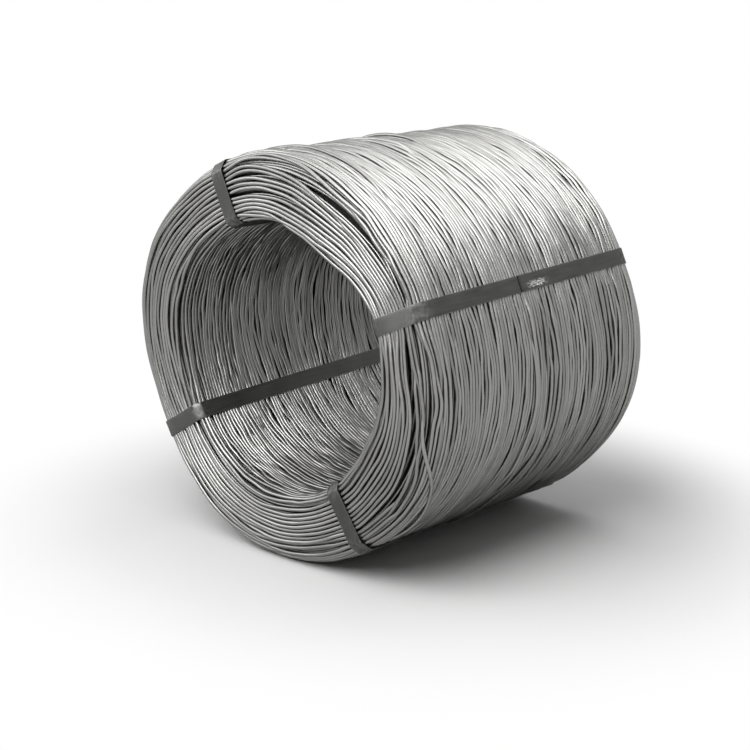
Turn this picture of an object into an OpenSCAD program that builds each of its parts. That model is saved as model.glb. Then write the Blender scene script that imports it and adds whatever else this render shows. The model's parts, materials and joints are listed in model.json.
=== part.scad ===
// Coil of round steel wire lying on its side, bound by four flat steel straps.
// The coil's axis runs along Y, its front end faces -Y and it rests on Z = 0.

/* [Wire] */
// Diameter of the wire
wire_d = 5.5; // [4:0.25:7]
// Turns of wire side by side along the coil
turns = 84; // [60:1:110]
// Layers of wire between the bore and the outside
layers = 17; // [12:1:24]
// Depth of the groove between two turns, as a share of the wire's diameter
groove_depth_share = 0.4; // [0.2:0.05:0.45]
// Flat crest of a turn on the outside and in the bore, as a share of the pitch of the turns
crest_share = 0.5; // [0.3:0.05:0.7]

/* [Coil] */
// Diameter of the open bore through the coil
bore_d = 400; // [300:1:500]
// Radius of the rounded outer edge of each end
outer_edge_r = 22; // [14:1:34]
// Radius of the rounded bore edge of each end
bore_edge_r = 16; // [10:1:28]

/* [Straps] */
// Width of a strap
strap_w = 24; // [16:0.5:32]
// Thickness of a strap
strap_t = 0.4; // [0.3:0.1:1]
// Gap between a strap and the wire under it
strap_gap = 0.2; // [0.1:0.05:0.4]
// Angle of the right strap, up from the horizontal as seen from the front
right_angle = 24; // [5:1:40]
// Angle of the top strap
top_angle = 115; // [95:1:130]
// Angle of the left strap
left_angle = 211; // [185:1:225]
// Angle of the bottom strap
bottom_angle = 305; // [290:1:320]

/* [Strap lap] */
// Length over which the two ends of a strap lie on each other
lap_l = 60; // [40:1:90]
// Length of the slope where the upper strap end climbs onto the lower one
lap_slope_l = 8; // [4:1:15]
// Distance of the cut strap end from the middle of the coil, towards the front
lap_cut_y = 27; // [-60:1:60]

/* [Hidden] */

wire_r = wire_d / 2;
bore_r = bore_d / 2;
wall = layers * wire_d;
coil_r = bore_r + wall;
coil_l = turns * wire_d;
half_l = coil_l / 2;
groove_depth = groove_depth_share * wire_d;

// The end turns lie side by side along a rounded end: outer edge, flat, bore edge
quarter = PI / 2;
outer_edge_l = quarter * (outer_edge_r - wire_r);
flat_l = wall - outer_edge_r - bore_edge_r;
bore_edge_l = quarter * (bore_edge_r - wire_r);
end_l = outer_edge_l + flat_l + bore_edge_l;
outer_edge_x = coil_r - outer_edge_r;
bore_edge_x = bore_r + bore_edge_r;
end_turns = floor(end_l / wire_d);
end_pitch = end_l / end_turns;

// Between the rounded edges the turns lie side by side as ridges
outer_l = coil_l - 2 * outer_edge_r;
bore_l = coil_l - 2 * bore_edge_r;

// A flat strap stands off by the depth of the bore's curve across its width
bore_curve = bore_r - sqrt(pow(bore_r, 2) - pow(strap_w / 2, 2));
strap_stand = strap_gap + bore_curve;

revolve_fn = 180;
turn_fn = 24;

wire_colour = [0.62, 0.62, 0.6];
strap_colour = [0.24, 0.24, 0.25];

// Point on the front end's section, at a length along the row of turns and a depth under their crests
function end_point(l, depth) =
    l < outer_edge_l ? edge_point(outer_edge_x, outer_edge_r, 90 * l / outer_edge_l, depth)
    : l <= outer_edge_l + flat_l ? [outer_edge_x + outer_edge_l - l, half_l - depth]
    : edge_point(bore_edge_x, bore_edge_r, 90 + 90 * (l - outer_edge_l - flat_l) / bore_edge_l, depth);

// Point on a rounded edge, at an angle from the outward direction
function edge_point(centre_x, edge_r, angle, depth) =
    [centre_x, half_l - edge_r] + (edge_r - depth) * [cos(angle), sin(angle)];

function end_row(depth) = [for (i = [0:end_turns - 1]) end_point((i + 0.5) * end_pitch, depth)];

function reversed(points) = [for (i = [len(points) - 1:-1:0]) points[i]];

function mirrored(points) = [for (point = reversed(points)) [point.x, -point.y]];

// Row of turns along the outside or the bore, from the rear end to the front
function side_row(crest_x, groove_x, l) =
    let (count = floor(l / wire_d), pitch = l / count)
    concat(
        [for (i = [0:count - 1]) each side_turn(crest_x, groove_x, i * pitch - l / 2, pitch)],
        [[groove_x, l / 2]]
    );

// One turn of such a row, from the groove behind it to the front of its crest
function side_turn(crest_x, groove_x, y, pitch) = [
    [groove_x, y],
    [crest_x, y + pitch * (1 - crest_share) / 2],
    [crest_x, y + pitch * (1 + crest_share) / 2]
];

// Half section of the coil, with its turns as ridges all round
module coil_section() {
    front = end_row(groove_depth);
    bore = reversed(side_row(bore_r, bore_r + groove_depth, bore_l));
    outside = side_row(coil_r, coil_r - groove_depth, outer_l);
    polygon(concat(front, bore, mirrored(front), outside));
    for (centre = concat(end_row(wire_r), mirrored(end_row(wire_r))))
        translate(centre) circle(wire_r, $fn = turn_fn);
}

// Outline of the coil's half section, over the crests of the turns and grown by a distance
module wrapped_section(grow) {
    front = [
        [coil_r + grow, half_l - outer_edge_r],
        [outer_edge_x, half_l + grow],
        [bore_edge_x, half_l + grow],
        [bore_r - grow, half_l - bore_edge_r]
    ];
    polygon(concat(front, mirrored(front)));
    for (side = [-1, 1]) {
        translate([outer_edge_x, side * (half_l - outer_edge_r)])
            circle(outer_edge_r + grow, $fn = revolve_fn);
        translate([bore_edge_x, side * (half_l - bore_edge_r)])
            circle(bore_edge_r + grow, $fn = revolve_fn);
    }
}

// Upper end of a strap, from its cut edge back to the slope down to the strap
module strap_lap() {
    strap_face = coil_r + strap_stand + strap_t;
    polygon([
        [strap_face, lap_cut_y - lap_l - lap_slope_l],
        [strap_face + strap_t, lap_cut_y - lap_l],
        [strap_face + strap_t, lap_cut_y],
        [strap_face, lap_cut_y]
    ]);
}

// Lays a coil turned about Z on its side, with its front end facing -Y
module lay_down() {
    translate([0, 0, coil_r]) rotate([90, 0, 0]) children();
}

module wire_coil() {
    color(wire_colour) lay_down()
        rotate_extrude($fn = revolve_fn) coil_section();
}

module strap(angle) {
    color(strap_colour) lay_down() rotate([0, 0, angle]) rotate([90, 0, 0])
        linear_extrude(strap_w, center = true) {
            difference() {
                wrapped_section(strap_stand + strap_t);
                wrapped_section(strap_stand);
            }
            strap_lap();
        }
}

wire_coil();
strap(right_angle);  // strap_right
strap(top_angle);  // strap_top
strap(left_angle);  // strap_left
strap(bottom_angle);  // strap_bottom
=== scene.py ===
import json
import math

import bpy
import numpy as np
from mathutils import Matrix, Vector


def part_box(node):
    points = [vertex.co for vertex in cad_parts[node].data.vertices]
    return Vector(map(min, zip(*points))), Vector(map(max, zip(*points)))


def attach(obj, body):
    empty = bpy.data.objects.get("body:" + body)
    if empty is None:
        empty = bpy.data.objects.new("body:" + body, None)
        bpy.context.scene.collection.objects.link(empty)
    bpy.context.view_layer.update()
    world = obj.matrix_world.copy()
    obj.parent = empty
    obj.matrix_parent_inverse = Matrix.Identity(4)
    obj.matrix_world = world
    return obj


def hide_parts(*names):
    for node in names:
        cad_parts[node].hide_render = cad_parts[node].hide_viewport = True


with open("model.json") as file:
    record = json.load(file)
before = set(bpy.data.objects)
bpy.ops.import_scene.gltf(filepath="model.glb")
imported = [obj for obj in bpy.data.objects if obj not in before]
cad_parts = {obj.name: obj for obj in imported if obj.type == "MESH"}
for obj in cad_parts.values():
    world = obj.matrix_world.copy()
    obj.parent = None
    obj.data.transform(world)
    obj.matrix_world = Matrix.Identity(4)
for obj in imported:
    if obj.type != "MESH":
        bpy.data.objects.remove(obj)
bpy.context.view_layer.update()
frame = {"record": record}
print("frame loaded")

fullTurn = 2 * math.pi
straightDown = 1.5 * math.pi

# The coil as the frame gives it: its axis runs along Y, the front end faces -Y
coilLow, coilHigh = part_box("wire_coil")
coilEye = frame["record"]["mounts"][0]["dims"]
coil = {
    "radius": (coilHigh.x - coilLow.x) / 2,
    "axisHeight": (coilHigh.z + coilLow.z) / 2,
    "halfLength": (coilHigh.y - coilLow.y) / 2,
    "boreRadius": coilEye["r_mm"] / 1000,
    "outerEdge": 0.022,  # rounding of the ends, outside and in the bore
    "boreEdge": (coilHigh.y - coilLow.y - coilEye["length_mm"] / 1000) / 2,
}
# The straps lie a little askew: sideways shift at the front end and at the rear end
strapAside = {
    "strap_right": (-0.006, 0.006),
    "strap_top": (-0.002, 0.002),
    "strap_left": (0.003, -0.0135),
    "strap_bottom": (-0.004, -0.036),
}
strapNames = list(strapAside)
# Loose turns at the front end sag into the bore
sag = {
    "inwards": [  # angle in degrees, how far the turns come in
        (-149, 0), (-120, 0.003), (-85, 0.006), (-60, 0.010), (-50, 0.011), (-40, 0.018), (-28, 0.021),
        (-12, 0.015), (6, 0.007), (20, 0), (28, 0), (43, 0.006), (62, 0.012), (82, 0.006), (100, 0),
    ],
    "smoothing": 5,  # in degrees
    "depth": 0.09,  # depth in the bore at which the sag has died out
}


def smoothStep(x):
    x = np.clip(x, 0, 1)
    return x * x * (3 - 2 * x)


# 1 where there is no gap, falling off over a reach
def nearness(gap, reach):
    return np.exp(-((gap / reach) ** 2))


# Smooths values along a closed line, over a reach in steps
def smoothRound(values, reach):
    steps = np.fft.rfftfreq(values.shape[-1])
    kept = np.exp(-2 * (math.pi * steps * reach) ** 2)
    return np.fft.irfft(np.fft.rfft(values) * kept, values.shape[-1])


def roundAngles(steps):
    return np.linspace(0, fullTurn, steps, endpoint=False)


def angleTo(theta, angle):
    return (theta - angle + math.pi) % fullTurn - math.pi


def angleGap(theta, angle):
    return np.abs(angleTo(theta, angle))


def strapAngle(name):
    low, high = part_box(name)
    middle = (low + high) / 2
    return math.atan2(middle.z - coil["axisHeight"], middle.x) % fullTurn


strapAngles = np.array([strapAngle(name) for name in strapNames])


def strapShift(name, y):
    return np.interp(y, [-coil["halfLength"], coil["halfLength"]], strapAside[name])


def sagAt(theta, radius, y):
    degrees = np.arange(-180, 180)
    angles, sizes = zip(*sag["inwards"])
    inwards = smoothRound(np.interp(degrees, angles, sizes), sag["smoothing"])
    inwards = np.interp(np.degrees(theta), degrees, inwards, period=360)
    share = np.clip((coil["radius"] - radius) / (coil["radius"] - coil["boreRadius"]), 0, 1)
    return inwards * share * smoothStep(1 - (y + coil["halfLength"]) / sag["depth"])


def addObject(name, data):
    obj = bpy.data.objects.new(name, data)
    bpy.context.scene.collection.objects.link(obj)
    return obj


# Camera at the photo's viewing angle, as fitted to the coil's outline
camera = {
    "azimuth": 43.71,
    "elevation": 14.87,
    "distance": 2.5826,
    "target": (-0.0279, 0.0, 0.2251),
    "focalPixels": 1703.7,
    "imagePixels": 750,  # width of the image that the focal length is measured in
    "sensor": 36,
    "farthest": 50,
}


def makeCamera(c):
    data = bpy.data.cameras.new("photo_camera")
    data.sensor_width = c["sensor"]
    data.lens = c["focalPixels"] / c["imagePixels"] * data.sensor_width
    data.clip_end = c["farthest"]
    a, e = math.radians(c["azimuth"]), math.radians(c["elevation"])
    back = Vector((math.sin(a) * math.cos(e), -math.cos(a) * math.cos(e), math.sin(e)))
    obj = addObject("photo_camera", data)
    obj.location = Vector(c["target"]) + back * c["distance"]
    obj.rotation_mode = "QUATERNION"
    obj.rotation_quaternion = back.to_track_quat("Z", "Y")
    bpy.context.scene.camera = obj


makeCamera(camera)
print("camera placed")


# Small helpers for node trees
def addNode(tree, kind, **settings):
    node = tree.nodes.new(kind)
    for key, value in settings.items():
        setattr(node, key, value)
    return node


def newMaterial(name):
    material = bpy.data.materials.new(name)
    material.use_nodes = True
    tree = material.node_tree
    tree.nodes.clear()
    shader = addNode(tree, "ShaderNodeBsdfPrincipled")
    output = addNode(tree, "ShaderNodeOutputMaterial")
    tree.links.new(shader.outputs["BSDF"], output.inputs["Surface"])
    return material, tree, shader


def ramp(tree, source, stops):
    node = addNode(tree, "ShaderNodeValToRGB")
    tree.links.new(source, node.inputs["Fac"])
    elements = node.color_ramp.elements
    while len(elements) < len(stops):
        elements.new(0.5)  # moved to its place below
    for element, (place, value) in zip(elements, stops):
        element.position = place
        element.color = (*value, 1) if isinstance(value, tuple) else (value, value, value, 1)
    return node.outputs["Color"]


def noise(tree, coords, scale, detail, roughness=0.5):
    node = addNode(tree, "ShaderNodeTexNoise")
    node.inputs["Scale"].default_value = scale
    node.inputs["Detail"].default_value = detail
    node.inputs["Roughness"].default_value = roughness
    tree.links.new(coords, node.inputs["Vector"])
    return node.outputs["Fac"]


def mathNode(tree, operation, a, b):
    node = addNode(tree, "ShaderNodeMath", operation=operation)
    for socket, value in zip(node.inputs, (a, b)):
        if isinstance(value, (int, float)):
            socket.default_value = value
        else:
            tree.links.new(value, socket)
    return node.outputs["Value"]


# Sum of two values, each with its share
def blend(tree, first, firstShare, second, secondShare):
    first = mathNode(tree, "MULTIPLY", first, firstShare)
    return mathNode(tree, "ADD", first, mathNode(tree, "MULTIPLY", second, secondShare))


# One colour laid over another, by a factor from 0 to 1
def tint(tree, factor, under, colour):
    node = addNode(tree, "ShaderNodeMix", data_type="RGBA")
    tree.links.new(factor, node.inputs["Factor"])
    tree.links.new(under, node.inputs["A"])
    node.inputs["B"].default_value = (*colour, 1)
    return node.outputs["Result"]


def addBump(tree, shader, height, strength, distance):
    bump = addNode(tree, "ShaderNodeBump")
    bump.inputs["Strength"].default_value = strength
    bump.inputs["Distance"].default_value = distance
    tree.links.new(height, bump.inputs["Height"])
    tree.links.new(bump.outputs["Normal"], shader.inputs["Normal"])


# The winding: turns of wire side by side along the outline of the coil's section.
# Waves of a turn have a size, a fade with their count, and a lowest and a highest count round the coil.
# Waves that neighbours share have a slope, a number, a range of counts round the coil that stops
# before its end, and a range of lengths across the turns
winding = {
    "seed": 11,
    "wireDiameter": 0.0055,
    "steps": 288,  # points in one turn
    "sides": 6,
    "spacing": {"outer": 1.035, "front": 1.045, "bore": 1.055, "rear": 1.045},  # in wire diameters, at first
    "outerShare": 0.4,  # share of the outer rounding that belongs to the outside
    # Sideways drift, shared and of each turn
    "sway": {"slope": 0.02, "count": 14, "rounds": (1, 6), "lengths": (0.08, 0.4)},
    "ownSway": {"outer": 0.0008, "front": 0.0016, "bore": 0.0009, "rear": 0.0016},
    "ownSwayWaves": {"size": 1, "fade": 0.9, "low": 1, "high": 12},
    # Drift up and down
    "wave": {"slope": 0.02, "count": 36, "rounds": (4, 18), "lengths": (0.02, 0.12)},
    "ownRise": {"size": 0.0009, "fade": 0.5, "low": 1, "high": 10},
    "kink": {"size": 0.00006, "fade": 0, "low": 8, "high": 24},
    "pinch": 0.0016,  # sideways push of the turns under a strap
    "pinchReach": 0.035,
    "grooveReach": 0.025,  # how far from a groove the turns drift with it
    "grooveFade": 8,  # degrees over which a groove opens
    "grooveShut": 3,  # wire diameters by which a groove is shut past its ends
    # Turns that come too close push each other apart
    "pushes": 60,
    "touch": 0.985,  # distance at which turns lie close, in wire diameters
    "neighbours": (1, 2, 3),
    "pushShare": 0.25,
    "pullBack": 0.02,  # share of the way back to its place that a turn goes at each push
    "settle": 0.985,  # share of its height that a turn keeps
    "riseRange": (-1.0, 0.4),  # in wire diameters
    "smoothEvery": 4,
    "smoothing": 1.0,  # in points of the turn
    # Short openings beside each turn
    "slits": 46,
    "slitHalf": (0.009, 0.026),  # half their length
    "slitWidth": (0.0008, 0.0036),
    "slitSpread": 0.3,  # share of a turn's shift that the next turn takes
    "slitTurns": 8,  # turns on each side that shift
    "slitScale": {"outer": 1, "front": 0.5, "bore": 1.1, "rear": 0.5},  # narrow ones are longer
    "slitMost": 0.0032,  # largest shift of a turn
    "slitPushes": 16,
    "slitSmoothing": 0.5,
    "bendMost": 0.00045,  # bend at which a turn starts to be eased, as a step aside from the straight
    "bendSmoothing": 2.0,  # in points of the turn
    "bendEase": 3.0,  # reach of the easing, in points of the turn
    # Turns that cross over the others
    "overTurns": {"outer": 9, "bore": 3, "rear": 2},
    "overRear": 0.8,  # share of the rear end that they cross
    "overPlaces": (0.05, 0.95),
    "overSway": {"size": 0.009, "fade": 1.2, "low": 1, "high": 5},
    "overShown": (1, 4),  # at how many places one shows, a range that stops before its end
    "overHalf": (0.25, 0.7),  # half the angle over which it shows
    "overFade": 0.3,
    "overDepth": 1.1,  # under the others, and its climb over them, in wire diameters
    "overClimb": 1.85,
    # Covered turns below
    "underPitch": 1.05,
    "underSteps": 100,
    "underSides": 4,
    "underDepth": 1.15,
    "underSway": {"size": 0.0015, "fade": 1, "low": 1, "high": 9},
    "underRise": {"size": 0.0006, "fade": 0.5, "low": 2, "high": 9},
    "underWidth": 1.5,  # width of a groove at which they sink fully, and how far from it, in wire diameters
    "underReach": 1.3,
    # Swell between the straps, from the right strap round, and on the ends
    "bulges": (-0.003, 0.011, 0.0, 0.009),
    "endBulge": 0.006,
    # How far the straps and the floor press the turns
    "strapHalf": 0.0125,
    "strapFade": 0.03,
    "floorHalf": 0.02,
    "floorFade": 0.05,
}
# Long openings in the front shoulder: angle, place behind the outer run, width in wire diameters
grooves = [
    [(22, 0.024, 0.2), (28, 0.024, 0.8), (37, 0.030, 1.1), (44, 0.033, 1.4), (50, 0.031, 1.7),
     (60, 0.0315, 2.1), (66, 0.0305, 2.2), (72, 0.028, 2.2), (80, 0.024, 2.3), (87, 0.023, 2.0),
     (100, 0.021, 1.1), (112, 0.020, 0)],
    [(-64, 0.035, 0), (-54, 0.035, 0.1), (-39, 0.034, 0.9), (-33, 0.0316, 1.3), (-25, 0.0316, 1.4),
     (-15, 0.034, 1.3), (-8, 0.0356, 1.2), (-3, 0.040, 1.2), (5, 0.0465, 1.4), (15, 0.045, 1.4),
     (22, 0.042, 0.7)],
    [(-26, 0.0225, 0), (-16, 0.0225, 0.2), (-10, 0.022, 0.7), (-2, 0.018, 1.3), (5, 0.0193, 1.3),
     (20, 0.0195, 0.7)],
]
# One loose turn that crosses the front shoulder
strayTurn = {
    "line": [  # angle, place behind the outer run
        (-90, 0.0), (-60, -0.018), (-44, -0.024), (-34, -0.019), (-26, -0.003), (-17, 0.017),
        (-11, 0.025), (-5, 0.028), (20, 0.027),
    ],
    "smoothing": 3.0,  # in points of the turn
    "shownAt": -30,  # middle of the stretch that shows, and half of it, in degrees
    "shownHalf": 34,
    "fade": 0.4,
    "depth": 1.1,  # under the others, and its climb over them, in wire diameters
    "climb": 2.0,
}


def sectionPath(c, w):
    inset = w["wireDiameter"] / 2
    lengths = {
        "outer": 2 * (c["halfLength"] - c["outerEdge"]),
        "outerArc": math.pi / 2 * (c["outerEdge"] - inset),
        "flat": c["radius"] - c["boreRadius"] - c["outerEdge"] - c["boreEdge"],
        "boreArc": math.pi / 2 * (c["boreEdge"] - inset),
        "bore": 2 * (c["halfLength"] - c["boreEdge"]),
    }
    lengths["end"] = lengths["outerArc"] + lengths["flat"] + lengths["boreArc"]
    lengths["total"] = lengths["outer"] + lengths["bore"] + 2 * lengths["end"]
    return lengths


path = sectionPath(coil, winding)


# Radius, place along Y and outward direction of a turn's middle, at a length round the section.
# The path runs to the front along the outside, over the front end, back through the bore
# and over the rear end
def sectionAt(u, c=coil, inset=winding["wireDiameter"] / 2):
    u = np.mod(u, path["total"])
    big, small, half = c["outerEdge"], c["boreEdge"], c["halfLength"]
    outerRadius, boreRadius = c["radius"], c["boreRadius"]
    # A line has its way on and its outward direction, a bend its radius and the angle that it starts at
    spans = [
        ("line", path["outer"], outerRadius - inset, half - big, 0, -1, 1, 0),
        ("bend", path["outerArc"], outerRadius - big, big - half, big - inset, 0),
        ("line", path["flat"], outerRadius - big, inset - half, -1, 0, 0, -1),
        ("bend", path["boreArc"], boreRadius + small, small - half, small - inset, -math.pi / 2),
        ("line", path["bore"], boreRadius + inset, small - half, 0, 1, -1, 0),
        ("bend", path["boreArc"], boreRadius + small, half - small, small - inset, math.pi),
        ("line", path["flat"], boreRadius + small, half - inset, 1, 0, 0, 1),
        ("bend", path["outerArc"], outerRadius - big, half - big, big - inset, math.pi / 2),
    ]
    radius, y, outR, outY = (np.zeros_like(u) for _ in range(4))
    start = 0.0
    for kind, length, r0, y0, *rest in spans:
        m = (u >= start) & (u <= start + length)
        s = u[m] - start
        if kind == "line":
            radius[m], y[m], outR[m], outY[m] = r0 + rest[0] * s, y0 + rest[1] * s, rest[2], rest[3]
        else:
            angle = rest[1] - s / rest[0]
            outR[m], outY[m] = np.cos(angle), np.sin(angle)
            radius[m], y[m] = r0 + rest[0] * outR[m], y0 + rest[0] * outY[m]
        start += length
    return radius, y, outR, outY


def zoneAt(place):
    place = place % path["total"]
    edge = path["outerArc"] * winding["outerShare"]
    if place < path["outer"] + edge or place > path["total"] - edge:
        return "outer"
    if place < path["outer"] + path["end"]:
        return "front"
    return "bore" if place < path["outer"] + path["end"] + path["bore"] else "rear"


def zoneValues(values, places):
    return np.array([values[zoneAt(place)] for place in places])


# How firmly the straps and the floor press the turns, from 0 to 1
def pressAt(theta, radius, y, outward, w):
    press = np.zeros_like(theta)
    for name, angle in zip(strapNames, strapAngles):
        gap = np.abs(angleTo(theta, angle) * radius - strapShift(name, y)) - w["strapHalf"]
        press = np.maximum(press, 1 - smoothStep(gap / w["strapFade"]))
    gap = angleGap(theta, straightDown) * radius - w["floorHalf"]
    return np.maximum(press, (1 - smoothStep(gap / w["floorFade"])) * np.clip(outward, 0, 1))


# Swell of the winding between two straps: outwards, and as a share of the most
def bulgeAt(theta, w):
    out, swell = np.zeros_like(theta), np.zeros_like(theta)
    for k, angle in enumerate(strapAngles):
        reach = (strapAngles[(k + 1) % len(strapAngles)] - angle) % fullTurn
        share = ((theta - angle) % fullTurn) / reach
        inside = share < 1
        swell[inside] = np.sin(math.pi * share[inside]) ** 2
        out[inside] = w["bulges"][k] * swell[inside]
    return out, swell


# Waviness of each turn
def waves(rng, count, theta, size, fade, low, high):
    out = np.zeros((count, len(theta)))
    for k in range(low, high + 1):
        height = rng.normal(size=(count, 1)) * size / k**fade
        out += height * np.cos(k * theta + rng.uniform(0, fullTurn, (count, 1)))
    return out


# Waviness shared by neighbours, as a sum of waves over the surface
def sharedWaves(rng, slope, count, rounds, lengths):
    k = rng.integers(*rounds, count)
    across = rng.choice([-1, 1], count) * fullTurn / rng.uniform(*lengths, count)
    phase = rng.uniform(0, fullTurn, count)
    height = slope * coil["radius"] / k * math.sqrt(2 / count)

    def at(theta, u):
        return sum(h * np.cos(n * theta + q * u + p) for h, n, q, p in zip(height, k, across, phase))

    return at


# Middle line and width of a groove, and where it is open, from 0 to 1
def grooveAt(groove, theta, w):
    angles, places, widths = np.array(groove).T
    degrees = (np.degrees(theta) + 180) % 360 - 180
    near = smoothStep((degrees - angles[0]) / w["grooveFade"])
    near = near * smoothStep((angles[-1] - degrees) / w["grooveFade"])
    return path["outer"] + np.interp(degrees, angles, places), np.interp(degrees, angles, widths), near


# Turns push each other apart until they only touch
def pushApart(u, h, target, openings, pushes, smoothing, w):
    d = w["wireDiameter"]
    lowest, highest = w["riseRange"]
    for step in range(pushes):
        for near in w["neighbours"]:
            du = np.roll(u, -near, 0) - u
            du[-near:] += path["total"]
            dh = np.roll(h, -near, 0) - h
            apart = np.sqrt(du**2 + dh**2) + 1e-9  # never nothing
            push = w["pushShare"] * np.maximum(d * w["touch"] - apart, 0) / apart
            u = u + np.roll(push * du, near, 0) - push * du
            h = h + np.roll(push * dh, near, 0) - push * dh
        u += w["pullBack"] * (target - u)
        h = np.clip(h * w["settle"], lowest * d, highest * d)
        for line, side, room in openings:
            u = np.where((u - line) * side < room, line + side * room, u)
        if (step + 1) % w["smoothEvery"] == 0:
            middle = u.mean(1, keepdims=True)
            u, h = smoothRound(u - middle, smoothing) + middle, smoothRound(h, smoothing)
    return u, h


# Wire is too stiff for a sharp bend, so the turns run smoother there
def easeBends(u, h, w):
    middle = u.mean(1, keepdims=True)
    bend = sum(np.abs(np.roll(v, 1, 1) - 2 * v + np.roll(v, -1, 1)) for v in (u, h))
    ease = smoothStep(smoothRound(bend, w["bendSmoothing"]) / w["bendMost"] - 1)
    u = u + ease * (smoothRound(u - middle, w["bendEase"]) + middle - u)
    return u, h + ease * (smoothRound(h, w["bendEase"]) - h)


# Sideways shift of the turns round short openings, where a crossing turn below holds two of them apart
def slitShift(rng, u, theta, w):
    count = len(u)
    places = u.mean(1)
    radius = sectionAt(places)[0]
    scale = zoneValues(w["slitScale"], places)
    shift = np.zeros_like(u)
    beside = np.arange(1 - w["slitTurns"], w["slitTurns"] + 1)
    away = beside - 0.5  # the opening lies between two turns
    share = np.sign(away) * w["slitSpread"] ** (np.abs(away) - 0.5)
    for _ in range(w["slits"] * count):
        first = rng.integers(count)
        half = rng.uniform(*w["slitHalf"]) / radius[first] / min(scale[first], 1)
        bump = smoothStep(1 - angleGap(theta, rng.uniform(0, fullTurn)) / half)
        width = rng.uniform(*w["slitWidth"]) * scale[first]
        shift[(first + beside) % count] += np.outer(share, bump) * width / 2
    most = w["slitMost"] * scale[:, None]
    return most * np.tanh(shift / most)


# The turns that show: places round the section and heights over it
def surfaceTurns(rng, theta, w):
    d = w["wireDiameter"]
    # Side by side, a little wider apart than the wire is thick, so that they have room to drift
    places = [0.0]
    while places[-1] < path["total"]:
        places.append(places[-1] + d * w["spacing"][zoneAt(places[-1])])
    nominal = np.array(places[:-1])[:, None] * path["total"] / places[-1]
    count = len(nominal)
    sway = sharedWaves(rng, **w["sway"])
    ownSway = zoneValues(w["ownSway"], nominal[:, 0])[:, None]
    target = nominal + sway(theta, nominal) + ownSway * waves(rng, count, theta, **w["ownSwayWaves"])
    radius, y, _, _ = sectionAt(nominal)
    for name, angle in zip(strapNames, strapAngles):
        gap = angleTo(theta, angle) * radius - strapShift(name, y)
        target += rng.normal(size=(count, 1)) * w["pinch"] * nearness(gap, w["pinchReach"])
    openings = []
    for groove in grooves:
        line, width, near = grooveAt(groove, theta, w)
        before = nominal[:, 0] < np.mean([place for _, place, _ in groove]) + path["outer"]
        middle = nominal[before][-1] + d / 2
        target += (line - middle) * near * nearness(nominal - middle, w["grooveReach"])
        side = np.where(before, -1, 1)[:, None]
        openings.append((line, side, (width + 1) * d / 2 * near - w["grooveShut"] * d * (1 - near)))
    h = waves(rng, count, theta, **w["ownRise"])
    u, h = pushApart(target.copy(), h, target, openings, w["pushes"], w["smoothing"], w)

    slits = slitShift(rng, u, theta, w)
    for groove in grooves:
        line, _, near = grooveAt(groove, theta, w)
        slits *= 1 - near * nearness(u - line, w["grooveReach"])
    u += slits
    u, h = pushApart(u, h, u.copy(), [], w["slitPushes"], w["slitSmoothing"], w)
    return easeBends(u, h, w)


# A few turns that cross over the others, and the stray one
def crossingTurns(rng, theta, shared, w):
    d = w["wireDiameter"]
    boreStart = path["outer"] + path["end"]
    runs = {  # start and length
        "outer": (0, path["outer"]),
        "bore": (boreStart, path["bore"]),
        "rear": (boreStart + path["bore"], path["end"] * w["overRear"]),
    }
    lines, rises = [], []
    for zone, number in w["overTurns"].items():
        start, length = runs[zone]
        for _ in range(number):
            place = start + rng.uniform(*w["overPlaces"]) * length
            line = place + waves(rng, 1, theta, **w["overSway"])[0]
            shown = np.zeros_like(theta)
            for _ in range(rng.integers(*w["overShown"])):
                middle, half = rng.uniform(0, fullTurn), rng.uniform(*w["overHalf"])
                shown = np.maximum(shown, smoothStep((half - angleGap(theta, middle)) / w["overFade"]))
            lines.append(line)
            rises.append(shared(theta, line) + d * (w["overClimb"] * shown - w["overDepth"]))
    angles, behind = np.array(strayTurn["line"]).T
    angles = np.radians(angles)
    line = path["outer"] + np.interp((theta - angles[0]) % fullTurn + angles[0], angles, behind)
    away = angleGap(theta, math.radians(strayTurn["shownAt"]))
    shown = smoothStep((math.radians(strayTurn["shownHalf"]) - away) / strayTurn["fade"])
    lines.append(smoothRound(line, strayTurn["smoothing"]))
    rises.append(d * (strayTurn["climb"] * shown - strayTurn["depth"]))
    return np.array(lines), np.array(rises)


# Covered turns below, side by side
def coveredTurns(rng, w):
    d = w["wireDiameter"]
    theta = roundAngles(w["underSteps"])
    count = int(path["total"] / (w["underPitch"] * d))
    u = np.arange(count)[:, None] / count * path["total"] + waves(rng, count, theta, **w["underSway"])
    rise = waves(rng, count, theta, **w["underRise"]) - w["underDepth"] * d
    for groove in grooves:
        line, width, near = grooveAt(groove, theta, w)
        sink = d * np.minimum(width / w["underWidth"], 1) * near
        rise -= sink * nearness(u - line, w["underReach"] * d)
    return theta, u, rise


def layTurns(w):
    rng = np.random.default_rng(w["seed"])
    theta = roundAngles(w["steps"])
    u, h = surfaceTurns(rng, theta, w)
    shared = sharedWaves(rng, **w["wave"])
    rise = h + shared(theta, u) + waves(rng, len(u), theta, **w["kink"])
    return [
        ("turns", theta, u, rise),
        ("crossing", theta, *crossingTurns(rng, theta, shared, w)),
        ("covered", *coveredTurns(rng, w)),
    ]


# Turns as points in the frame
def turnPoints(theta, u, rise, w):
    theta = np.broadcast_to(theta, u.shape)
    radius, y, outR, outY = sectionAt(u)
    held = pressAt(theta, radius, y, outR, w)
    rise = rise * (1 - held) + np.minimum(rise, 0) * held
    bulge, swell = bulgeAt(theta, w)
    lift = rise + w["endBulge"] * swell * outY**2
    r = radius + outR * lift + bulge - sagAt(theta, radius, y)
    z = np.maximum(coil["axisHeight"] + r * np.sin(theta), w["wireDiameter"] / 2)
    return np.stack([r * np.cos(theta), y + outY * lift, z], -1)


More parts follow.
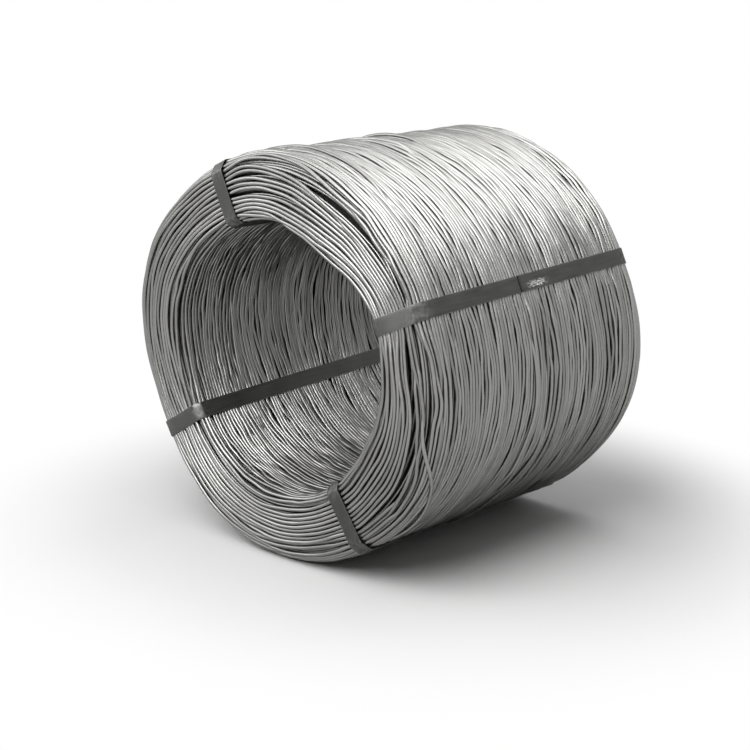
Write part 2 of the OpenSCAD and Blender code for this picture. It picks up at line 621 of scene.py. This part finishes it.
# Guide mesh: one closed line of edges for each turn, with its own shade
def guideMesh(name, points, shades):
    count, steps = points.shape[:2]
    mesh = bpy.data.meshes.new(name)
    index = np.arange(count * steps).reshape(count, steps)
    edges = np.stack([index, np.roll(index, -1, axis=1)], -1).reshape(-1, 2)
    mesh.vertices.add(count * steps)
    mesh.vertices.foreach_set("co", points.reshape(-1).astype(np.float32))
    mesh.edges.add(len(edges))
    mesh.edges.foreach_set("vertices", edges.reshape(-1).astype(np.int32))
    shade = mesh.attributes.new("turnShade", "FLOAT", "POINT")
    shade.data.foreach_set("value", np.repeat(shades, steps).astype(np.float32))
    mesh.update()
    return mesh


# Geometry Nodes: a round wire swept along the guide lines
def wireSweep():
    tree = bpy.data.node_groups.new("wire_sweep", "GeometryNodeTree")
    kinds = {"Guide": "Geometry", "Wire Radius": "Float", "Sides": "Int", "Finish": "Material"}
    sockets = {}
    for label, kind in kinds.items():
        sockets[label] = tree.interface.new_socket(label, in_out="INPUT", socket_type="NodeSocket" + kind)
    tree.interface.new_socket("Wire", in_out="OUTPUT", socket_type="NodeSocketGeometry")
    given = addNode(tree, "NodeGroupInput")
    result = addNode(tree, "NodeGroupOutput")
    lines = addNode(tree, "GeometryNodeMeshToCurve")
    profile = addNode(tree, "GeometryNodeCurvePrimitiveCircle", mode="RADIUS")
    sweep = addNode(tree, "GeometryNodeCurveToMesh")
    smooth = addNode(tree, "GeometryNodeSetShadeSmooth")
    realize = addNode(tree, "GeometryNodeRealizeInstances")
    finish = addNode(tree, "GeometryNodeSetMaterial")
    link = tree.links.new
    link(given.outputs["Guide"], lines.inputs["Mesh"])
    link(given.outputs["Sides"], profile.inputs["Resolution"])
    link(given.outputs["Wire Radius"], profile.inputs["Radius"])
    link(lines.outputs["Curve"], sweep.inputs["Curve"])
    link(profile.outputs["Curve"], sweep.inputs["Profile Curve"])
    link(sweep.outputs["Mesh"], smooth.inputs["Geometry"])
    link(smooth.outputs["Geometry"], realize.inputs["Geometry"])
    link(realize.outputs["Geometry"], finish.inputs["Geometry"])
    link(given.outputs["Finish"], finish.inputs["Material"])
    link(finish.outputs["Geometry"], result.inputs["Wire"])
    return tree, sockets


def sweptPiece(name, guide, radius, sides, material, sweep):
    tree, sockets = sweep
    holder = addObject(name + "_guide", guide)
    modifier = holder.modifiers.new("sweep", "NODES")
    modifier.node_group = tree
    modifier[sockets["Wire Radius"].identifier] = radius
    modifier[sockets["Sides"].identifier] = sides
    modifier[sockets["Finish"].identifier] = material
    holder.data.materials.append(material)
    bpy.context.view_layer.update()
    graph = bpy.context.evaluated_depsgraph_get()
    mesh = bpy.data.meshes.new_from_object(holder.evaluated_get(graph))
    bpy.data.objects.remove(holder)
    mesh.name = name
    piece = addObject(name, mesh)
    print(name, len(mesh.polygons) * 2, "triangles")
    return piece


def dressWire(piece):
    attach(piece, "root")
    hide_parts("wire_coil")


# Bright galvanised wire. Noises are given by scale and detail, tones by place and value
wireLook = {
    "tones": [(0.2, (0.215, 0.215, 0.208)), (0.8, (0.305, 0.305, 0.295))],
    "turnShare": 0.6,  # a turn's own shade in the tone, and the mottling
    "mottleShare": 0.4,
    "mottle": (60, 4),
    "roughness": [(0.3, 0.28), (0.7, 0.46)],
    "roughNoise": (140, 3),
    "metal": 1.0,
    "bumpNoise": (90, 2),
    "bump": (0.25, 0.001),  # strength, distance
}


def wireFinish(look):
    material, tree, shader = newMaterial("galvanised_wire")
    link = tree.links.new
    place = addNode(tree, "ShaderNodeTexCoord").outputs["Object"]
    shade = addNode(tree, "ShaderNodeAttribute", attribute_name="turnShade").outputs["Fac"]
    mixed = blend(tree, shade, look["turnShare"], noise(tree, place, *look["mottle"]), look["mottleShare"])
    link(ramp(tree, mixed, look["tones"]), shader.inputs["Base Color"])
    rough = ramp(tree, noise(tree, place, *look["roughNoise"]), look["roughness"])
    link(rough, shader.inputs["Roughness"])
    shader.inputs["Metallic"].default_value = look["metal"]
    addBump(tree, shader, noise(tree, place, *look["bumpNoise"]), *look["bump"])
    return material


# The turns that show are split into pieces by zone and by half of the coil
def turnGroups(label, u, points):
    if label != "turns":
        return {"wound": np.full(len(u), True)}
    zones = np.array([zoneAt(place) for place in u.mean(1)])
    frontHalf = points[:, :, 1].mean(1) < 0
    return {
        "outer_front": (zones == "outer") & frontHalf,
        "outer_rear": (zones == "outer") & ~frontHalf,
        "bore_front": (zones == "bore") & frontHalf,
        "bore_rear": (zones == "bore") & ~frontHalf,
        "front_end": zones == "front",
        "rear_end": zones == "rear",
    }


wireBright = wireFinish(wireLook)
sweep = wireSweep()
layers = layTurns(winding)
print("turns laid:", [(label, len(u)) for label, _, u, _ in layers])

shadeRng = np.random.default_rng(winding["seed"] + 1)
for label, theta, u, rise in layers:
    points = turnPoints(theta, u, rise, winding)
    shades = shadeRng.uniform(0, 1, len(u))
    sides = winding["underSides"] if label == "covered" else winding["sides"]
    for name, chosen in turnGroups(label, u, points).items():
        guide = guideMesh(f"{name}_{label}", points[chosen], shades[chosen])
        wireRadius = winding["wireDiameter"] / 2
        dressWire(sweptPiece(f"{name}_{label}", guide, wireRadius, sides, wireBright, sweep))

# Deeper turns as one dark sheet, seen only between the others: its near-black colour is painted shade,
# standing in for the shadow down among the turns below
core = {
    "depth": 0.0125,
    "stepsRound": 120,
    "stepsAlong": 160,
    "noise": (200, 3),
    # near-black tones: painted shade of the wire deep in the winding, not the wire's own colour
    "tones": [(0.3, 0.02), (0.7, 0.06)],
    "metal": 0.6,
    "roughness": 0.6,
}


def makeCore(c):
    u = np.linspace(0, path["total"], c["stepsAlong"], endpoint=False)
    u, theta = np.meshgrid(u, roundAngles(c["stepsRound"]))
    radius, y, outR, outY = sectionAt(u)
    bulge, _ = bulgeAt(theta, winding)
    r = radius - outR * c["depth"] + bulge - sagAt(theta, radius, y)
    z = coil["axisHeight"] + r * np.sin(theta)
    points = np.stack([r * np.cos(theta), y - outY * c["depth"], z], -1)
    index = np.arange(u.size).reshape(u.shape)
    right, upper = np.roll(index, -1, axis=1), np.roll(index, -1, axis=0)
    faces = np.stack([index, upper, np.roll(right, -1, axis=0), right], -1).reshape(-1, 4)
    mesh = bpy.data.meshes.new("deep_turns_painted_shade")
    mesh.from_pydata(points.reshape(-1, 3).tolist(), [], faces.tolist())
    mesh.shade_smooth()
    return addObject("deep_turns_painted_shade", mesh)


# Finish of the deep sheet: near-black painted shade
def paintedShadeFinish(c):
    material, tree, shader = newMaterial("painted_shade_wire")
    place = addNode(tree, "ShaderNodeTexCoord").outputs["Object"]
    tree.links.new(ramp(tree, noise(tree, place, *c["noise"]), c["tones"]), shader.inputs["Base Color"])
    shader.inputs["Metallic"].default_value = c["metal"]
    shader.inputs["Roughness"].default_value = c["roughness"]
    return material


deepShadeSheet = makeCore(core)
deepShadeSheet.data.materials.append(paintedShadeFinish(core))
dressWire(deepShadeSheet)
print("winding done")


# Straps: flat bands bent over the wire, their cut ends lapped on the outside
strap = {
    "width": 0.024,
    "thickness": 0.0004,
    "stand": 0.0004,  # of the band's inner face over the crests of the wire
    "ring": [(-1, 0), (-1, 0.6), (-0.97, 1), (-0.5, 1), (0, 1), (0.5, 1), (0.97, 1), (1, 0.6), (1, 0)],
    "sharpAngle": 40,
    "spacing": 0.006,
    # Each edge of the coil bends the band twice
    "bendHalf": 22.5,  # degrees
    "cornerCut": 0.003,  # length of a bend's rounding on each side
    "cornerShares": (0.25, 0.5, 0.75, 1),
    # Places of the lap along the coil: lower end, cut end
    "lapFrom": 0.033,
    "lapTo": -0.027,
    "lapSlope": 0.008,
    "lapLift": 1.15,  # in thicknesses
    "cutShadeLength": 0.0012,  # length of the painted shade at the cut end, a near-black strip standing in for the step's shadow
    "cutShadeFade": 1.5,
    # The band isn't quite flat: waves along it, and edges that roll up
    "seedStep": 7,
    "waveHeight": 0.00025,
    "waves": (4, (0.05, 0.16)),  # number, lengths
    "rollHeight": 0.00032,
    "rolls": (3, (0.08, 0.3)),
    "wavePhases": (0, 6),
    "waveMost": 2,
    # Weld marks, along the coil, rubbed bends, and a painted sheen on the front face of some bands
    "scuffFrom": -0.004,
    "scuffTo": 0.026,
    "markSmoothing": 1.0,
    "bendSmoothing": 1.5,
    "bendRub": 4,
    # Painted sheen: how much lighter each band's front face is made, standing in for the light that falls on
    # it
    "frontPaintedLight": {"strap_right": 0.4, "strap_top": 0, "strap_left": 0.1, "strap_bottom": 0},
    "frontLightFade": 0.05,  # distance from the bore at which the painted sheen on the front end is full
}


def straightRun(start, end, spacing):
    count = max(1, round(np.linalg.norm(end - start) / spacing))
    return [start + (end - start) * k / count for k in range(1, count + 1)]


def stepTowards(start, end, length):
    return start + (end - start) / np.linalg.norm(end - start) * length


# Middle line of a band in the section: radius and place along the coil,
# from its lower end round to its cut end
def strapLine(s, c=coil):
    big, small = c["outerEdge"] + s["stand"], c["boreEdge"] + s["stand"]
    outR, inR = c["radius"] - c["outerEdge"], c["boreRadius"] + c["boreEdge"]
    outY, inY = c["halfLength"] - c["outerEdge"], c["halfLength"] - c["boreEdge"]
    bends = [(outR, -outY, big, -45), (inR, -inY, small, -135), (inR, inY, small, 135), (outR, outY, big, 45)]
    corners = [(c["radius"] + s["stand"], s["lapFrom"])]
    for middleR, middleY, bendRadius, turned in bends:
        reach = bendRadius / math.cos(math.radians(s["bendHalf"]))
        for side in (s["bendHalf"], -s["bendHalf"]):
            angle = math.radians(turned + side)
            corners.append((middleR + reach * math.cos(angle), middleY + reach * math.sin(angle)))
    corners.append((c["radius"] + s["stand"], s["lapTo"]))
    corners = np.array(corners)
    line = [corners[0]]
    for before, corner, after in zip(corners, corners[1:], corners[2:]):
        start = stepTowards(corner, before, s["cornerCut"])
        end = stepTowards(corner, after, s["cornerCut"])
        line += straightRun(line[-1], start, s["spacing"])
        for share in s["cornerShares"]:
            line.append((1 - share) ** 2 * start + 2 * share * (1 - share) * corner + share**2 * end)
    line += straightRun(line[-1], corners[-1] + (0, s["cutShadeLength"]), s["spacing"])
    return np.array(line + straightRun(line[-1], corners[-1], s["cutShadeLength"] / 2))


# Slow waves along a band, from -1 to 1
def bandWaves(rng, along, count, lengths, s):
    swing = 0
    for _ in range(count):
        height = rng.normal()
        rounds = fullTurn * along / rng.uniform(*lengths)
        swing += height * np.sin(rounds + rng.uniform(*s["wavePhases"]))
    return np.clip(swing / s["waveMost"], -1, 1)


# Rings of points along a band
def bandPoints(name, angle, line, outward, along, s):
    rng = np.random.default_rng(len(name) * s["seedStep"])
    climbed = s["lapFrom"] - s["lapTo"] + s["lapSlope"] - (along[-1] - along)
    lap = np.clip(climbed / s["lapSlope"], 0, 1) * s["thickness"] * s["lapLift"]
    wave = bandWaves(rng, along, *s["waves"], s)
    roll = bandWaves(rng, along, *s["rolls"], s)
    across, height = np.array(s["ring"]).T
    lift = lap + s["waveHeight"] * (1 + wave) / 2
    lift = lift[:, None] + height * s["thickness"] + s["rollHeight"] * np.abs(roll)[:, None] * across**2
    flat = line[:, None, :] + outward[:, None, :] * lift[:, :, None]
    turned = angle + strapShift(name, line[:, 1]) / line[:, 0]
    noY = np.zeros_like(turned)
    radial = np.stack([np.cos(turned), noY, np.sin(turned)], -1)[:, None]
    sideways = np.stack([-np.sin(turned), noY, np.cos(turned)], -1)[:, None]
    aside = (across * s["width"] / 2)[:, None]
    points = flat[:, :, :1] * radial + flat[:, :, 1:] * np.array([0, 1, 0]) + aside * sideways
    points[:, :, 2] += coil["axisHeight"]
    return points


# Marks on a band, for its finish to read: length along it, and shares from 0 to 1
def bandMarks(name, line, outward, along, s):
    toEnd = along[-1] - along
    bend = smoothRound(np.abs(np.gradient(np.unwrap(np.arctan2(*outward.T)))), s["bendSmoothing"])
    onLap = toEnd < s["lapFrom"] - s["lapTo"]
    marked = onLap & (line[:, 1] > s["scuffFrom"]) & (line[:, 1] < s["scuffTo"])
    # Painted sheen on the front face, kept in the strapRub attribute
    onFront = smoothRound((line[:, 1] < -coil["halfLength"]).astype(float), s["markSmoothing"])
    lightened = onFront * smoothStep((line[:, 0] - coil["boreRadius"]) / s["frontLightFade"]) * s["frontPaintedLight"][name]
    return {
        "strapAlong": along,
        "strapBend": np.clip(bend * s["bendRub"], 0, 1),
        "strapScuff": smoothRound(marked.astype(float), s["markSmoothing"]),
        "strapRub": lightened,
        # painted shadow at the cut end of the band
        "strapCut": np.clip(s["cutShadeFade"] - toEnd / s["cutShadeLength"], 0, 1),
    }


def makeStrap(name, angle, s):
    line = strapLine(s)
    line[:, 0] -= sagAt(angle, line[:, 0], line[:, 1])
    ahead = np.gradient(line, axis=0)
    ahead /= np.linalg.norm(ahead, axis=1)[:, None]
    outward = np.stack([-ahead[:, 1], ahead[:, 0]], -1)  # left of the way round, away from the wire
    along = np.concatenate([[0], np.cumsum(np.linalg.norm(np.diff(line, axis=0), axis=1))])
    points = bandPoints(name, angle, line, outward, along, s)
    rings, sides = points.shape[:2]
    index = np.arange(rings * sides).reshape(rings, sides)
    right = np.roll(index, -1, axis=1)
    faces = np.stack([index[:-1], right[:-1], right[1:], index[1:]], -1).reshape(-1, 4).tolist()
    faces += [index[0, ::-1].tolist(), index[-1].tolist()]
    mesh = bpy.data.meshes.new(name + "_band")
    mesh.from_pydata(points.reshape(-1, 3).tolist(), [], faces)
    mesh.shade_smooth()
    mesh.set_sharp_from_angle(angle=math.radians(s["sharpAngle"]))
    marks = bandMarks(name, line, outward, along, s)
    values = {label: np.repeat(mark, sides) for label, mark in marks.items()}
    values["strapAcross"] = np.tile([place for place, _ in s["ring"]], rings)
    for label, value in values.items():
        mesh.attributes.new(label, "FLOAT", "POINT").data.foreach_set("value", value.astype(np.float32))
    piece = addObject(name + "_band", mesh)
    print(piece.name, len(mesh.polygons) * 2, "triangles")
    return piece


# Dark rolled steel with streaks along the band, rubbed edges and bends, a painted sheen on the front face of
# some bands, and scratched weld marks
strapLook = {
    "tones": [(0.3, (0.036, 0.036, 0.0355)), (0.7, (0.076, 0.076, 0.074))],
    "streakStretch": 6,
    "streaks": (3, 5, 0.6),  # noises: scale, detail, roughness
    "streakShare": 0.6,
    "blotches": (25, 4),
    "blotchShare": 0.4,
    "edge": [(0.9, 0.0), (1.0, 1.0)],  # from the middle of the band to its edge
    "rubNoise": (160, 3),
    "rubAmount": [(0.4, 0.1), (0.65, 0.8)],
    # tone of worn steel, also the tone of the painted sheen on the front face
    "wearAndSheenTone": (0.22, 0.22, 0.212),
    "scratchScale": (18, 9, 1),
    "scratches": (1.4, 3, 0.65),
    "scratchAmount": [(0.49, 0.0), (0.55, 1.0)],
    "scratchAcross": [(0.1, 0.0), (0.2, 1.0), (0.4, 1.0), (0.58, 0.0)],  # from one edge to the other
    "scratchTone": (0.8, 0.8, 0.78),
    # near black: painted shadow at the cut end of the lap
    "cutShadeTone": (0.012, 0.012, 0.012),
    "roughness": [(0.3, 0.36), (0.7, 0.52)],
    "metal": 0.8,
    "bump": (0.15, 0.0005),  # strength, distance
}


def strapFinish(look):
    material, tree, shader = newMaterial("strap_steel")
    link = tree.links.new
    read = {label: addNode(tree, "ShaderNodeAttribute", attribute_name="strap" + label).outputs["Fac"]
            for label in ("Along", "Across", "Bend", "Scuff", "Rub", "Cut")}
    place = addNode(tree, "ShaderNodeTexCoord").outputs["Object"]
    band = addNode(tree, "ShaderNodeCombineXYZ")
    link(mathNode(tree, "MULTIPLY", read["Along"], look["streakStretch"]), band.inputs["X"])
    link(read["Across"], band.inputs["Y"])
    streaks = noise(tree, band.outputs["Vector"], *look["streaks"])
    blotches = noise(tree, place, *look["blotches"])
    tone = blend(tree, streaks, look["streakShare"], blotches, look["blotchShare"])
    steel = ramp(tree, tone, look["tones"])

    edge = ramp(tree, mathNode(tree, "ABSOLUTE", read["Across"], 0), look["edge"])
    lightened = mathNode(tree, "MAXIMUM", edge, read["Bend"])
    rubAmount = ramp(tree, noise(tree, place, *look["rubNoise"]), look["rubAmount"])
    # The Rub attribute adds the painted sheen of the front face to the real wear of edges and bends
    lightened = mathNode(tree, "ADD", mathNode(tree, "MULTIPLY", lightened, rubAmount), read["Rub"])

    scratches = addNode(tree, "ShaderNodeMapping")
    scratches.inputs["Scale"].default_value = look["scratchScale"]
    link(band.outputs["Vector"], scratches.inputs["Vector"])
    marks = ramp(tree, noise(tree, scratches.outputs["Vector"], *look["scratches"]), look["scratchAmount"])
    # Across runs from -1 to 1, the ramp from 0 to 1
    fromEdge = mathNode(tree, "ADD", mathNode(tree, "MULTIPLY", read["Across"], 0.5), 0.5)
    marks = mathNode(tree, "MULTIPLY", marks, ramp(tree, fromEdge, look["scratchAcross"]))
    marks = mathNode(tree, "MULTIPLY", marks, read["Scuff"])

    wornAndLit = tint(tree, lightened, steel, look["wearAndSheenTone"])
    bright = tint(tree, marks, wornAndLit, look["scratchTone"])
    # last, the painted shadow at the cut end
    link(tint(tree, read["Cut"], bright, look["cutShadeTone"]), shader.inputs["Base Color"])
    link(ramp(tree, streaks, look["roughness"]), shader.inputs["Roughness"])
    shader.inputs["Metallic"].default_value = look["metal"]
    addBump(tree, shader, streaks, *look["bump"])
    return material


strapSteel = strapFinish(strapLook)
for name, angle in zip(strapNames, strapAngles):
    piece = makeStrap(name, angle, strap)
    piece.data.materials.append(strapSteel)
    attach(piece, "root")
    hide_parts(name)
print("straps bent")

# Studio: pale floor, soft light from above
studio = {
    "floorSize": 40,
    "floorTone": 0.55,
    "floorShade": 0.985,  # darker blotches, as a share of the tone
    "floorNoise": (7, 5),
    "floorStops": (0.3, 0.7),
    "floorRoughness": 0.9,
    "whiteFrom": 0.4,  # distance from the coil at which the floor turns plain white
    "whiteTo": 0.72,
    # Light by height, from the horizon up
    "sky": [(0.0, 0.07), (0.3, 0.11), (0.5, 0.25), (0.7, 0.4), (1.0, 0.45)],
    "lamps": [  # name, place, size, power
        ("overhead", (0.15, 0.05, 1.25), 1.3, 10.3),
        ("front", (0.25, -1.5, 1.75), 1.8, 53),
        ("left", (-1.9, -1.4, 1.35), 1.7, 23),
    ],
}


# 1 for the rays that show the background, straight or in a reflection
def seenRay(tree):
    ray = addNode(tree, "ShaderNodeLightPath").outputs
    shown = mathNode(tree, "MAXIMUM", ray["Is Camera Ray"], ray["Is Glossy Ray"])
    return mathNode(tree, "MAXIMUM", shown, ray["Is Transmission Ray"])


def makeFloor(s):
    half = s["floorSize"] / 2
    corners = [(-half, -half, 0), (half, -half, 0), (half, half, 0), (-half, half, 0)]
    mesh = bpy.data.meshes.new("floor")
    mesh.from_pydata(corners, [], [(0, 1, 2, 3)])
    floor = addObject("floor", mesh)
    material, tree, shader = newMaterial("pale_floor")
    link = tree.links.new
    place = addNode(tree, "ShaderNodeTexCoord").outputs["Object"]
    tones = zip(s["floorStops"], (s["floorTone"] * s["floorShade"], s["floorTone"]))
    link(ramp(tree, noise(tree, place, *s["floorNoise"]), list(tones)), shader.inputs["Base Color"])
    shader.inputs["Roughness"].default_value = s["floorRoughness"]
    away = addNode(tree, "ShaderNodeVectorMath", operation="LENGTH")
    link(place, away.inputs[0])
    fade = addNode(tree, "ShaderNodeMapRange", interpolation_type="SMOOTHSTEP")
    fade.inputs["From Min"].default_value = s["whiteFrom"]
    fade.inputs["From Max"].default_value = s["whiteTo"]
    link(away.outputs["Value"], fade.inputs["Value"])
    white = addNode(tree, "ShaderNodeEmission")
    mix = addNode(tree, "ShaderNodeMixShader")
    link(mathNode(tree, "MULTIPLY", seenRay(tree), fade.outputs["Result"]), mix.inputs["Fac"])
    link(shader.outputs["BSDF"], mix.inputs[1])
    link(white.outputs["Emission"], mix.inputs[2])
    link(mix.outputs["Shader"], tree.nodes["Material Output"].inputs["Surface"])
    mesh.materials.append(material)


def makeLight(s):
    world = bpy.data.worlds.new("studio")
    bpy.context.scene.world = world
    world.use_nodes = True
    tree = world.node_tree
    link = tree.links.new
    height = addNode(tree, "ShaderNodeSeparateXYZ")
    link(addNode(tree, "ShaderNodeTexCoord").outputs["Generated"], height.inputs["Vector"])
    most = s["sky"][-1][1]
    tone = ramp(tree, height.outputs["Z"], [(place, value / most) for place, value in s["sky"]])
    sky = tree.nodes["Background"]
    sky.inputs["Strength"].default_value = most
    link(tone, sky.inputs["Color"])
    white = addNode(tree, "ShaderNodeBackground")
    white.inputs["Color"].default_value = (1, 1, 1, 1)
    mix = addNode(tree, "ShaderNodeMixShader")
    link(seenRay(tree), mix.inputs["Fac"])
    link(sky.outputs["Background"], mix.inputs[1])
    link(white.outputs["Background"], mix.inputs[2])
    link(mix.outputs["Shader"], tree.nodes["World Output"].inputs["Surface"])
    for name, place, size, power in s["lamps"]:
        data = bpy.data.lights.new(name, "AREA")
        data.shape = "DISK"
        data.size = size
        data.energy = power
        lamp = addObject(name, data)
        lamp.location = place
        lamp.rotation_mode = "QUATERNION"
        towards = Vector((0, 0, coil["axisHeight"])) - lamp.location
        lamp.rotation_quaternion = towards.to_track_quat("-Z", "Y")


makeFloor(studio)
makeLight(studio)
bpy.context.scene.view_settings.view_transform = "Standard"
print("studio lit")
